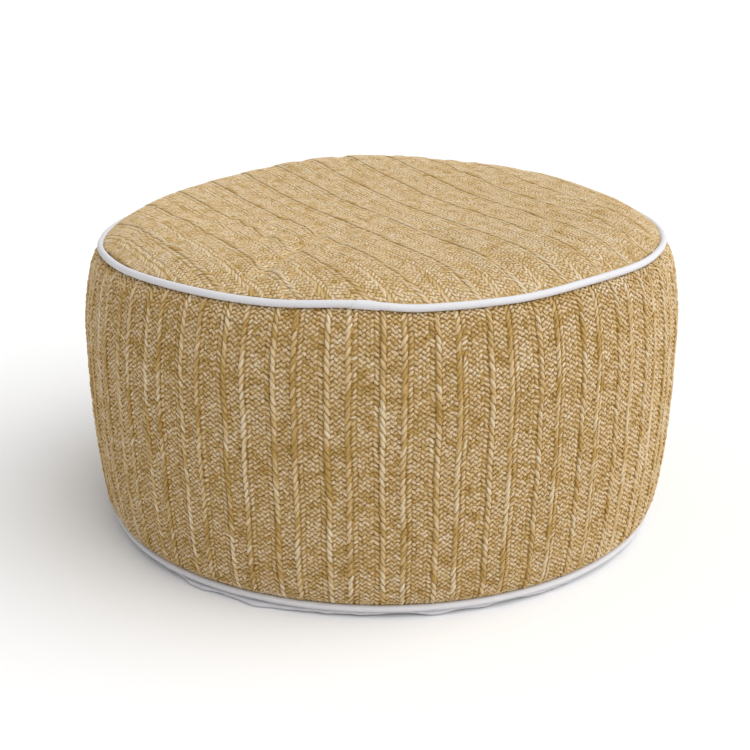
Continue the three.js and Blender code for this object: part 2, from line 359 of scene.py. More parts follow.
class NodeTree:
    """Short hand for adding and joining shader nodes."""

    MIX_COLOURS = (6, 7)
    MIX_RESULT = 2

    def __init__(self, tree: ShaderNodeTree) -> None:
        """Holds the tree that nodes are added to."""
        self.tree = tree

    def feed(self, socket: NodeSocket, value: object) -> None:
        """Joins an output to an input, or sets the input's own value.

        Args:
            socket: The input.
            value: Value or output socket.
        """
        if isinstance(value, NodeSocket):
            self.tree.links.new(value, socket)
        else:
            socket.default_value = value

    def fill(self, node: Node, **inputs: object) -> None:
        """Feeds inputs of a node with values or output sockets, by name with spaces as underscores."""
        for key, value in inputs.items():
            self.feed(node.inputs[key.replace("_", " ")], value)

    def add(self, kind: str, settings: dict | None = None, **inputs: object) -> Node:
        """Adds a node.

        Args:
            kind: Type of the node, without its shader prefix.
            settings: Properties of the node.
            inputs: Values or output sockets, as for fill.

        Returns:
            The new node.
        """
        node = self.tree.nodes.new("ShaderNode" + kind)
        for key, value in (settings or {}).items():
            setattr(node, key, value)
        self.fill(node, **inputs)
        return node

    def math(self, operation: str, *values: object) -> NodeSocket:
        """Adds a calculation.

        Args:
            operation: Name of the operation.
            values: Values or output sockets that it takes.

        Returns:
            The result's socket.
        """
        node = self.add("Math", {"operation": operation})
        for socket, value in zip(node.inputs, values):
            self.feed(socket, value)
        return node.outputs[0]

    def blend(self, share: object, first: object, second: object, kind: str = "MIX") -> NodeSocket:
        """Adds a mix of two colours.

        Args:
            share: Share of the second colour.
            first: Colour or output socket.
            second: Colour or output socket.
            kind: How the colours are mixed.

        Returns:
            The mixed colour's socket.
        """
        node = self.add("Mix", {"data_type": "RGBA", "blend_type": kind}, Factor=share)
        for number, colour in zip(self.MIX_COLOURS, (first, second)):
            self.feed(node.inputs[number], colour)
        return node.outputs[self.MIX_RESULT]


def new_group(name: str, inputs: dict[str, str], outputs: dict[str, str]) -> tuple[NodeTree, dict, dict]:
    """Starts a shader node group.

    Args:
        name: Name of the group.
        inputs: Socket type of each named input.
        outputs: Socket type of each named output.

    Returns:
        The group's tree, its input sockets and its output sockets, by name.
    """
    tree = bpy.data.node_groups.new(name, "ShaderNodeTree")
    for side, sockets in (("INPUT", inputs), ("OUTPUT", outputs)):
        for label, kind in sockets.items():
            tree.interface.new_socket(name=label, in_out=side, socket_type="NodeSocket" + kind)
    start, end = tree.nodes.new("NodeGroupInput"), tree.nodes.new("NodeGroupOutput")
    return NodeTree(tree), {k: start.outputs[k] for k in inputs}, {k: end.inputs[k] for k in outputs}


def fibre_group() -> ShaderNodeTree:
    """Fine streaks of spun fibre, and larger flecks among them, over the vector that the group is given.

    Returns:
        The node group.
    """
    fleck_scale = 0.31
    nodes, given, put = new_group(
        "Spun fibre", {"Vector": "Vector", "Fineness": "Float"}, {"Streak": "Float", "Fleck": "Float"}
    )
    fineness = given["Fineness"]
    streak = nodes.add("TexNoise", Vector=given["Vector"], Scale=fineness, Detail=3.0, Roughness=0.6)
    coarse = nodes.math("MULTIPLY", fineness, fleck_scale)
    fleck = nodes.add("TexNoise", Vector=given["Vector"], Scale=coarse, Detail=1.0)
    nodes.feed(put["Streak"], streak.outputs["Fac"])
    nodes.feed(put["Fleck"], fleck.outputs["Fac"])
    return nodes.tree


def weave_group() -> ShaderNodeTree:
    """Plain weave of fine threads, over and under in turn, with a little unevenness.

    Returns:
        The node group.
    """
    half = 0.5
    nodes, given, put = new_group(
        "Plain weave", {"Vector": "Vector", "Threads": "Float"}, {"Height": "Float", "Shade": "Float"}
    )
    scaled = nodes.add("VectorMath", {"operation": "SCALE"}, Scale=given["Threads"])
    nodes.feed(scaled.inputs[0], given["Vector"])
    parts = nodes.add("SeparateXYZ", Vector=scaled.outputs["Vector"])
    ribs = [nodes.math("SINE", parts.outputs[axis]) for axis in "XYZ"]
    crossed = nodes.math("MULTIPLY", ribs[0], ribs[1])
    height = nodes.math("MULTIPLY_ADD", nodes.math("ADD", crossed, ribs[2]), half, half)
    uneven = nodes.add("TexNoise", Vector=given["Vector"], Scale=60.0, Detail=2.0)
    nodes.feed(put["Height"], height)
    nodes.feed(put["Shade"], uneven.outputs["Fac"])
    return nodes.tree


@dataclass(frozen=True)
class Finish(ABC):
    """Finish of a cloth, with the node group that its pattern comes from."""

    group: ShaderNodeTree

    def material(self, name: str) -> Material:
        """Builds the material.

        Args:
            name: Name of the material.

        Returns:
            The finished material.
        """
        material = bpy.data.materials.new(name)
        material.use_nodes = True
        tree = material.node_tree
        self.wire(NodeTree(tree), tree.nodes["Principled BSDF"])
        return material

    @abstractmethod
    def wire(self, nodes: NodeTree, shader: Node) -> None:
        """Adds the finish's nodes and joins them to the shader."""


@dataclass(frozen=True)
class Tint:
    """Colour of the yarn at one depth of its dye."""

    depth: float
    colour: Colour


@dataclass(frozen=True)
class YarnFinish(Finish):
    """Space-dyed straw yarn: its colour runs from pale to gold along each wale."""

    pale: Tint = Tint(0.08, (0.672, 0.546, 0.37, 1))
    straw: Tint = Tint(0.42, (0.63, 0.47, 0.276, 1))
    honey: Tint = Tint(0.68, (0.555, 0.382, 0.172, 1))
    gold: Tint = Tint(0.95, (0.43, 0.264, 0.07, 1))
    fineness: float = 1.0
    streak_shade: float = 1.0
    streak_middle: float = 0.52
    streak_relief: float = 0.7
    streak_height: float = 0.35
    # Painted light and shade: the colour is lighter on each stitch's crest, darker on its flanks, and deeper
    # in colour where darker.
    crown_painted_shade: float = 0.15
    crown_painted_light: float = 1.055
    deepening: tuple[float, float] = (1.12, 1.6)
    roughness: float = 0.62
    roughness_spread: float = 0.3
    shine: float = 0.3
    sheen: float = 0.3
    sheen_colour: Colour = (0.95, 0.72, 0.4, 1)

    def wire(self, nodes: NodeTree, shader: Node) -> None:
        """Joins the dye, the fibre's streaks, and the painted light on the stitches' crowns with painted
        shade on their flanks, to the shader.

        Args:
            nodes: The material's nodes.
            shader: Its shader.
        """
        attributes = [{"attribute_name": name} for name in ("dye", "strand", "crown")]
        dye, strand, crown = (nodes.add("Attribute", attribute).outputs for attribute in attributes)
        ramp = nodes.add("ValToRGB", Fac=dye["Fac"])
        stops = ramp.color_ramp.elements
        stops[0].position, stops[0].color = self.pale.depth, self.pale.colour
        stops[1].position, stops[1].color = self.gold.depth, self.gold.colour
        for tint in (self.straw, self.honey):
            stops.new(tint.depth).color = tint.colour
        spun = {"node_tree": self.group}
        fibre = nodes.add("Group", spun, Vector=strand["Vector"], Fineness=self.fineness).outputs
        unstreaked = 1 - self.streak_middle * self.streak_shade
        streaked = nodes.math("MULTIPLY_ADD", fibre["Streak"], self.streak_shade, unstreaked)
        # Painted light on the crest and painted shade on the flanks, by the crown attribute.
        unlit = self.crown_painted_light - self.crown_painted_shade
        lit = nodes.math("MULTIPLY_ADD", crown["Fac"], self.crown_painted_shade, unlit)
        dark = nodes.math("MULTIPLY", streaked, lit)
        # Yarn darkened by its streaks or its painted shade is also deeper towards gold, which paints the
        # colour of shade among the fibres.
        green, blue = (nodes.math("POWER", dark, power) for power in self.deepening)
        shade = nodes.add("CombineColor", Red=dark, Green=green, Blue=blue)
        colour = nodes.blend(1.0, ramp.outputs["Color"], shade.outputs["Color"], "MULTIPLY")
        smoothest = self.roughness - self.roughness_spread / 2
        rough = nodes.math("MULTIPLY_ADD", fibre["Fleck"], self.roughness_spread, smoothest)
        relief, depth = self.streak_relief, self.streak_height * MM
        bump = nodes.add("Bump", Height=fibre["Streak"], Strength=relief, Distance=depth)
        nodes.fill(shader, Base_Color=colour, Roughness=rough, Normal=bump.outputs["Normal"])
        nodes.fill(shader, Sheen_Weight=self.sheen, Sheen_Tint=self.sheen_colour)
        nodes.fill(shader, Specular_IOR_Level=self.shine)


@dataclass(frozen=True)
class GroundFinish(Finish):
    """Ground of the knit, seen only in the gaps between its stitches, coloured darker than the yarn as
    painted shade in the gaps.
    """

    # Painted shade: deep for the dark pits, light for the rest of the gaps between stitches.
    deep: Colour = (0.21, 0.121, 0.025, 1)
    light: Colour = (0.49, 0.316, 0.105, 1)
    fineness: float = 1500.0
    painted_pit_limits: tuple[float, float] = (0.36, 0.62)
    fibre_relief: float = 0.5
    fibre_height: float = 0.4
    roughness: float = 0.95
    shine: float = 0.1

    def wire(self, nodes: NodeTree, shader: Node) -> None:
        """Joins the painted shade of dark pits between the fibres to the shader.

        Args:
            nodes: The material's nodes.
            shader: Its shader.
        """
        place = nodes.add("TexCoord").outputs["Object"]
        fibre = nodes.add("Group", {"node_tree": self.group}, Vector=place, Fineness=self.fineness).outputs
        low, high = self.painted_pit_limits
        soft = {"interpolation_type": "SMOOTHSTEP"}
        painted_pits = nodes.add("MapRange", soft, Value=fibre["Fleck"], From_Min=low, From_Max=high)
        colour = nodes.blend(painted_pits.outputs["Result"], self.deep, self.light)
        relief, depth = self.fibre_relief, self.fibre_height * MM
        bump = nodes.add("Bump", Height=fibre["Streak"], Strength=relief, Distance=depth)
        nodes.fill(shader, Base_Color=colour, Normal=bump.outputs["Normal"])
        nodes.fill(shader, Roughness=self.roughness, Specular_IOR_Level=self.shine)


@dataclass(frozen=True)
class WhiteFinish(Finish):
    """White cloth, from a smooth piping tape to a plain woven base cloth."""

    threads: float
    relief: float
    roughness: float
    shine: float
    bright: Colour = (0.69, 0.683, 0.708, 1)
    dull: Colour = (0.645, 0.636, 0.656, 1)
    roughness_spread: float = 0.2
    thread_height: float = 0.15

    def wire(self, nodes: NodeTree, shader: Node) -> None:
        """Joins the weave to the shader.

        Args:
            nodes: The material's nodes.
            shader: Its shader.
        """
        place = nodes.add("TexCoord").outputs["Object"]
        weave = nodes.add("Group", {"node_tree": self.group}, Vector=place, Threads=self.threads).outputs
        colour = nodes.blend(weave["Shade"], self.dull, self.bright)
        smoothest = self.roughness - self.roughness_spread / 2
        rough = nodes.math("MULTIPLY_ADD", weave["Shade"], self.roughness_spread, smoothest)
        depth = self.thread_height * MM
        bump = nodes.add("Bump", Height=weave["Height"], Strength=self.relief, Distance=depth)
        nodes.fill(shader, Base_Color=colour, Roughness=rough, Normal=bump.outputs["Normal"])
        nodes.fill(shader, Specular_IOR_Level=self.shine)


def no_swelling() -> Array:
    """Grid round the pouf for a cover that the air hasn't moved."""
    return np.zeros((4, 2))


@dataclass(frozen=True)
class Pucker:
    """Place where a rib of the top dips, or rises where the dip is negative, and how far it jogs there."""

    across: float
    along: float
    dip: float
    jog: float = 0.0


@dataclass
class PoufShape:
    """Form of the air-filled cover from seam to seam, before the relief of its knit."""

    seam_radius: float = 250.0
    bottom_seam: float = 9.0
    top_seam_height: float = 259.4
    top_seam_tilt: float = 2.9
    seam_gap: float = 0.6
    edge_inset: float = 5.1
    seam_wave: Table = (
        (-150, -4.0), (-110, -6.2), (-88, -5.0), (-64, -0.8), (-42, 0.9), (-20, -0.1), (-6, 2.1),
        (7, -1.8), (22, -1.5), (42, 1.4), (66, -1.6), (88, -4.7), (110, -5.9), (150, 0.4),
    )
    bulge: Table = (
        (0, -5.1), (0.014, -0.3), (0.025, 3.8), (0.055, 7.4), (0.12, 11.0), (0.3, 15.6), (0.5, 17.8),
        (0.7, 18.2), (0.88, 13.4), (0.935, 10.0), (0.962, 7.0), (0.978, 3.6), (0.987, -0.3), (1, -5.1),
    )
    arc_samples: int = 1001
    side_slope_step: float = 0.002
    top_radius: float = 247.6
    lip_rise: float = 2.6
    crown_rise: float = 22.4
    wave_power: int = 4
    front_power: float = 9.5
    back_power: float = 16.0
    swell_x: float = -52.0
    swell_y: float = 281.0
    swell_rise: float = 13.3
    swell_spread: float = 84.0
    swell_fade: float = 8.3
    rim_fade: float = 9.0
    rim_turn: float = 0.8
    rim_fall: float = 1.3
    top_slope_step: float = 0.5
    rib_turn: float = 27.4
    rib_bow: float = 15.3
    puckers: tuple[Pucker, ...] = (
        Pucker(-99, -76, 2.8, 3.0),
        Pucker(-99, -52, -0.8),
        Pucker(-98, -2, 1.8, 1.8),
        Pucker(-98, -25, -0.6),
        Pucker(-137, -104, 3.0, 3.6),
        Pucker(-137, -79, -1.2),
        Pucker(-137, -55, 2.6, 3.0),
        Pucker(-138, -31, -0.8),
        Pucker(-139, 14, 1.8, 1.8),
        Pucker(-174, -131, 2.8, 3.0),
        Pucker(-173, -153, -1.0),
    )
    pucker_reach: float = 15.0
    pucker_width: float = 8.0
    pucker_slant: float = 0.65
    jog_reach: float = 22.0
    jog_softness: float = 3.5
    side_swell: Array = field(default_factory=no_swelling)
    top_swell: Array = field(default_factory=no_swelling)
    across: Array = field(init=False)
    along: Array = field(init=False)
    arc_shares: Array = field(init=False)
    arcs: Array = field(init=False)

    def __post_init__(self) -> None:
        """Turns the ribs of the top, and measures the side's arc for an even spacing of its stitches."""
        turn = math.radians(self.rib_turn)
        self.across = np.array([math.cos(turn), math.sin(turn)])
        self.along = np.array([-self.across[1], self.across[0]])
        self.arc_shares = np.linspace(0, 1, self.arc_samples)
        radius = smooth_curve(self.arc_shares, self.bulge)
        height = self.arc_shares * (self.top_seam_height - self.bottom_seam)
        self.arcs = np.concatenate([[0], np.cumsum(np.hypot(np.diff(radius), np.diff(height)))])

    def seam_rise(self, azimuth: Array) -> Array:
        """Rise and fall of the top seam round the pouf."""
        return eased_ring(azimuth, self.seam_wave, 360)

    def top_seam(self, azimuth: Array) -> Array:
        """Height of the top seam's middle line."""
        tilt = self.top_seam_tilt * np.sin(np.radians(azimuth))
        return self.top_seam_height + tilt + self.seam_rise(azimuth)

    def level_seam(self, azimuth: Array) -> Array:
        """Height of the bottom seam's middle line."""
        return np.full_like(azimuth, self.bottom_seam)

    def side_share(self, arc: Array) -> Array:
        """Share of the side's height at a distance along its arc."""
        return np.interp(arc, self.arcs, self.arc_shares)

    def side_point(self, azimuth: Array, share: Array, lift: Array) -> Array:
        """Points on the side.

        Args:
            azimuth: Degrees from the front.
            share: Share of the height between the seams.
            lift: Distance outwards from the side's skin.

        Returns:
            One row of x, y and z for each point.
        """
        step = self.side_slope_step
        height = self.top_seam(azimuth) - self.bottom_seam
        swell = read_ring_grid(self.side_swell, azimuth, share)
        radius = self.seam_radius + smooth_curve(share, self.bulge) + swell
        slope = smooth_curve(share + step, self.bulge) - smooth_curve(share - step, self.bulge)
        rise = 2 * step * height
        length = np.hypot(slope, rise)
        out, down = lift * rise / length, lift * slope / length
        return around(azimuth, radius + out, self.bottom_seam + share * height - down)

    def crossing(self, across: Array, radius: float) -> Array:
        """How far along a rib lies its crossing with a circle.

        Args:
            across: Places of the ribs across the top.
            radius: Radius of the circle.

        Returns:
            The distance along each rib, 0 where it stays outside.
        """
        bow = self.rib_bow / self.seam_radius**2
        b = 2 * across * bow + 1
        c = np.minimum(across**2 - radius**2, 0)
        return np.sqrt((-b + np.sqrt(b**2 - 4 * bow**2 * c)) / (2 * bow**2))

    def top_plan(self, across: Array, along: Array) -> tuple[Array, Array, Array]:
        """Plan of the top's cloth, with the bow of its ribs and the jogs at its puckers.

        Args:
            across: Places across the ribs.
            along: Places along the ribs.

        Returns:
            The plan's x and y, and the dip at the puckers.
        """
        dip, jog = np.zeros_like(across), np.zeros_like(across)
        for pucker in self.puckers:
            aside = across - pucker.across
            strength = np.exp(-((aside / self.pucker_reach) ** 2))
            offset = pucker.along + self.pucker_slant * aside - along
            dip += pucker.dip * strength * np.exp(-((offset / self.pucker_width) ** 2))
            fading = pucker.jog * strength * np.exp(-np.abs(offset) / self.jog_reach)
            jog += fading * np.tanh(offset / self.jog_softness)
        bowed = across + self.rib_bow * (along / self.seam_radius) ** 2 + jog
        x = bowed * self.across[0] + along * self.along[0]
        y = bowed * self.across[1] + along * self.along[1]
        return x, y, dip

    def top_height(self, x: Array, y: Array) -> Array:
        """Height of the smooth dome.

        Args:
            x: Places on the plan, to the right.
            y: Places on the plan, to the back.

        Returns:
            The height above the floor at each place.
        """
        azimuth, radius = azimuth_of(x, y), np.hypot(x, y)
        share = np.minimum(radius / self.top_radius, 1)
        level = self.top_seam_height + self.top_seam_tilt * x / self.seam_radius
        wave = self.seam_rise(azimuth) * share**self.wave_power
        behind = (1 - np.cos(np.radians(azimuth))) / 2
        power = self.front_power + (self.back_power - self.front_power) * behind
        dome = self.lip_rise + (self.crown_rise - self.lip_rise) * (1 - share**power)
        away = np.hypot(x - self.swell_x, y - self.swell_y) / self.swell_spread
        swell = self.swell_rise * np.exp(-(away**2) / 2) * (1 - share**self.swell_fade)
        fall = self.rim_fall * np.clip(radius - self.top_radius, 0, 2 * self.rim_turn)
        return level + wave + dome + swell + read_ring_grid(self.top_swell, azimuth, share) - fall

    def fade(self, x: Array, y: Array) -> Array:
        """Share of the top's relief that is left near its rim."""
        return np.clip((self.top_radius - np.hypot(x, y)) / self.rim_fade, 0, 1)

    def top_point(self, across: Array, along: Array, lift: Array) -> Array:
        """Points on the top.

        Args:
            across: Places across the ribs.
            along: Places along the ribs.
            lift: Distance outwards from the top's skin.

        Returns:
            One row of x, y and z for each point.
        """
        step = self.top_slope_step
        x, y, dip = self.top_plan(across, along)
        radius = np.maximum(np.hypot(x, y), 1)
        inward = np.minimum(1, (self.top_radius + self.rim_turn) / radius)
        x, y = x * inward, y * inward
        height = self.top_height(x, y)
        slope_x = (self.top_height(x + step, y) - self.top_height(x - step, y)) / (2 * step)
        slope_y = (self.top_height(x, y + step) - self.top_height(x, y - step)) / (2 * step)
        share = lift / np.sqrt(1 + slope_x**2 + slope_y**2)
        deep = dip * self.fade(x, y)
        return np.stack([x - slope_x * share, y - slope_y * share, height + share - deep], -1)


@dataclass
class AirForm:
    """Closed shell held at both seams and blown up by air, which says how uneven the cover gets."""

    shape: PoufShape
    steps: int = 240
    side_rows: int = 28
    top_rings: int = 15
    inner_ring: float = 0.04
    pressure: float = 4.0
    slack: float = 0.012
    stretch_stiffness: float = 40.0
    bend_stiffness: float = 2.0
    frames: int = 20
    cap: float = 0.9

    def shell(self) -> tuple[Array, Array]:
        """Lays out the shell before it is blown up.

        Returns:
            Its points by row and step from the bottom seam up to the top's middle, and which rows are held.
        """
        azimuth = np.arange(self.steps) * 360 / self.steps
        shares = np.linspace(0, 1, self.side_rows)
        side = self.shape.side_point(azimuth[None], shares[:, None], np.zeros((1, 1)))
        turn = np.radians(azimuth)
        radii = np.linspace(1, self.inner_ring, self.top_rings)[:, None] * self.shape.top_radius
        x, y = radii * np.sin(turn), -radii * np.cos(turn)
        top = np.stack([x, y, self.shape.top_height(x, y)], -1)
        held = np.zeros(self.side_rows + self.top_rings, bool)
        held[[0, 1, self.side_rows - 2, self.side_rows - 1, self.side_rows]] = True
        return np.concatenate([side, top]), held

    def inflate(self) -> None:
        """Runs the air through the shell and leaves its unevenness in the shape."""
        points, held = self.shell()
        count = held.size * self.steps
        form = closed_rings("air_form", points)
        make_active(form)
        seams = form.vertex_groups.new(name="Seams")
        bottom_middle = count
        fixed = np.flatnonzero(np.repeat(held, self.steps)).tolist() + [bottom_middle]
        seams.add(fixed, 1.0, "REPLACE")
        air = form.modifiers.new("Air", "CLOTH")
        cloth = air.settings
        cloth.vertex_group_mass = seams.name
        cloth.use_pressure = True
        cloth.uniform_pressure_force = self.pressure
        cloth.shrink_min = -self.slack
        cloth.tension_stiffness = cloth.compression_stiffness = self.stretch_stiffness
        cloth.bending_stiffness = self.bend_stiffness
        cloth.effector_weights.gravity = 0
        air.point_cache.frame_end = self.frames
        for frame in range(1, self.frames + 1):
            bpy.context.scene.frame_set(frame)
        bpy.ops.object.modifier_apply(modifier=air.name)
        blown = corners_of(form)[:count].reshape(points.shape) / MM
        bpy.data.objects.remove(form)
        bpy.context.scene.frame_set(1)
        self.keep(points, blown - points)

    def keep(self, points: Array, moved: Array) -> None:
        """Keeps the unevenness of what the air moved, within the cap.

        Args:
            points: The shell's points before the air.
            moved: How far each point moved.
        """
        plan = points[: self.side_rows, :, :2]
        outward = plan / np.maximum(np.linalg.norm(plan, axis=-1, keepdims=True), 1)
        side = (moved[: self.side_rows, :, :2] * outward).sum(-1)
        top = moved[self.side_rows :, :, 2]
        for grid, name in ((side, "side_swell"), (top[::-1], "top_swell")):
            uneven = grid - grid.mean(1, keepdims=True)
            LOG.info("%s: air moved the cover by up to %.2f mm", name, np.abs(uneven).max())
            setattr(self.shape, name, np.clip(uneven, -self.cap, self.cap).T.copy())


class Wale(Enum):
    """Kinds of upright stitch column in the knit."""

    ROPE = "rope"
    BORDER = "border"
    SMALL = "small"


@dataclass(frozen=True)
class StitchForm:
    """One stitch: its size, its lean from the wale, and its outline from tip to tip."""

    length: float
    width: float
    height: float
    lean: float
    stations: tuple[float, ...]
    girths: tuple[float, ...]
    rises: tuple[float, ...]
    crests: tuple[float, ...] = (0.0,)
    # Strength of the painted light on the stitch's crest and of the painted shade on its sides.
    crown: float = 1.0
    skew: float = 0.12
    stray: float = 11.0
    tip_sink: float = -0.25
    sink: float = -0.15

    def outline(self, lean: int) -> tuple[Array, Array, Array]:
        """Lays out the stitch's corners.

        Args:
            lean: Which way the stitch leans, so that its crest lies nearer its upper side.

        Returns:
            Rows of sideways share, lengthways share, share of the height and sink, then the triangles of the
            underside and those of the crown.
        """
        rows = [(0, -1, 0, self.tip_sink)]
        for at, girth, rise in zip(self.stations, self.girths, self.rises):
            crown = [(girth * (place - lean * self.skew), at, rise, 0) for place in self.crests]
            rows += [(-girth, at, 0, self.sink), *crown, (girth, at, 0, self.sink)]
        rows.append((0, 1, 0, self.tip_sink))
        last = len(rows) - 1
        ribs = np.arange(1, last).reshape(len(self.stations), -1)
        first, end = ribs[0], ribs[-1]
        under = [(0, first[0], first[-1]), (end[-1], end[0], last)]
        over = [(0, right, left) for left, right in zip(first, first[1:])]
        over += [(left, right, last) for left, right in zip(end, end[1:])]
        for near, far in zip(ribs, ribs[1:]):
            under += [(near[0], far[0], far[-1]), (near[0], far[-1], near[-1])]
            for k in range(len(near) - 1):
                over += [(near[k], near[k + 1], far[k + 1]), (near[k], far[k + 1], far[k])]
        return np.array(rows, float), np.array(under), np.array(over)


# Borders get more painted crest light, against the shade of the ropes beside them; ropes get less, as their
# strands stand higher and are less shaded.
STITCHES: dict[Wale, StitchForm] = {
    Wale.ROPE: StitchForm(
        10.6, 3.5, 1.1, 26.0, (-0.8, -0.28, 0.28, 0.8), (0.66, 1.0, 1.0, 0.62),
        (0.7, 1.0, 1.0, 0.6), crests=(-0.4, 0.4), crown=0.45, skew=0.05, stray=3.5, sink=0.1,
    ),
    Wale.BORDER: StitchForm(
        6.8, 3.6, 1.5, 45.0, (-0.62, 0.0, 0.62), (0.8, 1.0, 0.75), (0.85, 1.0, 0.65), crown=1.25
    ),
    Wale.SMALL: StitchForm(5.4, 3.9, 1.4, 55.0, (-0.46, 0.46), (0.95, 0.9), (1.0, 0.92)),
}


@dataclass(frozen=True)
class Column:
    """One wale of the repeat: its place, its kind, and which way its stitches lean."""

    at: float
    wale: Wale
    lean: int


@dataclass(frozen=True)
class Dye:
    """Space dyeing: the rows and wales that a patch covers, its middle colour, and how far it strays."""

    run: float
    spread: float
    middle: float
    reach: float


@dataclass(frozen=True)
class Knit:
    """The ribbed knit: a pair of rope ribs in each repeat, with bands of small stitches between them."""

    repeat: float = 42.0
    ground_drop: float = 1.3
    relief: float = 0.7
    rope_rows: float = 1.5
    section: Table = (
        (-3.0, 1.8), (-0.9, 0.0), (0.9, 0.0), (3.0, 1.7), (12.8, 1.7), (14.9, 0.1), (16.7, 0.1), (18.8, 1.8),
    )
    columns: tuple[Column, ...] = (
        Column(0.0, Wale.ROPE, -1),
        Column(3.9, Wale.SMALL, 1),
        Column(6.6, Wale.SMALL, -1),
        Column(9.3, Wale.SMALL, 1),
        Column(12.0, Wale.SMALL, -1),
        Column(15.8, Wale.ROPE, 1),
        Column(20.8, Wale.BORDER, 1),
        Column(24.5, Wale.SMALL, -1),
        Column(27.5, Wale.SMALL, 1),
        Column(30.4, Wale.SMALL, -1),
        Column(33.4, Wale.SMALL, 1),
        Column(37.0, Wale.BORDER, -1),
    )
    samples: tuple[float, ...] = (
        -3.0, -2.3, -1.6, -0.9, 0, 0.9, 1.6, 2.3, 3.0, 6, 9, 12.8, 13.5, 14.2, 14.9, 15.8, 16.7, 17.4, 18.1,
        18.8, 24, 29, 34,
    )
    dye_jitter: float = 0.8
    dye_reach: float = 3.0
    wander: float = 0.45
    ripples: tuple[Ripple, ...] = (Ripple(1.0, 1 / 31, 2.1, 1 / 67), Ripple(0.7, 1 / 13, 1.7, 1 / 41, 1.0))

    def depth(self, place: Array) -> Array:
        """Depth of the relief below the rib crests, at places across the repeats."""
        return self.relief * eased_ring(place, self.section, self.repeat)

    def wandering(self, place: Array, row: Array) -> Array:
        """How far the wales stray sideways, at places across the cloth and along it."""
        return self.wander * sum(ripple.at(row, place) for ripple in self.ripples)

    def dyes(self, rng: np.random.Generator, wales: int, rows: int, dye: Dye) -> Array:
        """Draws the yarn's colour, in patches that run along the rows and the wales.

        Args:
            rng: Random numbers.
            wales: How many wales.
            rows: How many rows.
            dye: The dyeing.

        Returns:
            A share from pale, 0, to gold, 1, for each wale and row.
        """
        patches = rng.normal(size=(wales, rows))
        for axis, size in ((0, dye.spread), (1, dye.run)):
            half = math.ceil(self.dye_reach * size)
            kernel = np.exp(-0.5 * (np.arange(-half, half + 1) / size) ** 2)
            kernel /= np.sqrt((kernel**2).sum())
            margins = [(half, half) if side == axis else (0, 0) for side in (0, 1)]
            wrapped = np.pad(patches, margins, mode="wrap")
            patches = np.apply_along_axis(np.convolve, axis, wrapped, kernel, "valid")
        mixed = patches + self.dye_jitter * rng.normal(size=patches.shape)
        return np.clip(dye.middle + dye.reach * mixed, 0, 1)


TOP_SECTION: Table = (
    (-3, 1.7), (-0.9, 0), (0.9, 0.1), (3, 0.8), (12.8, 0.8), (14.9, 0.5), (16.7, 0.5), (18.8, 1.5),
)


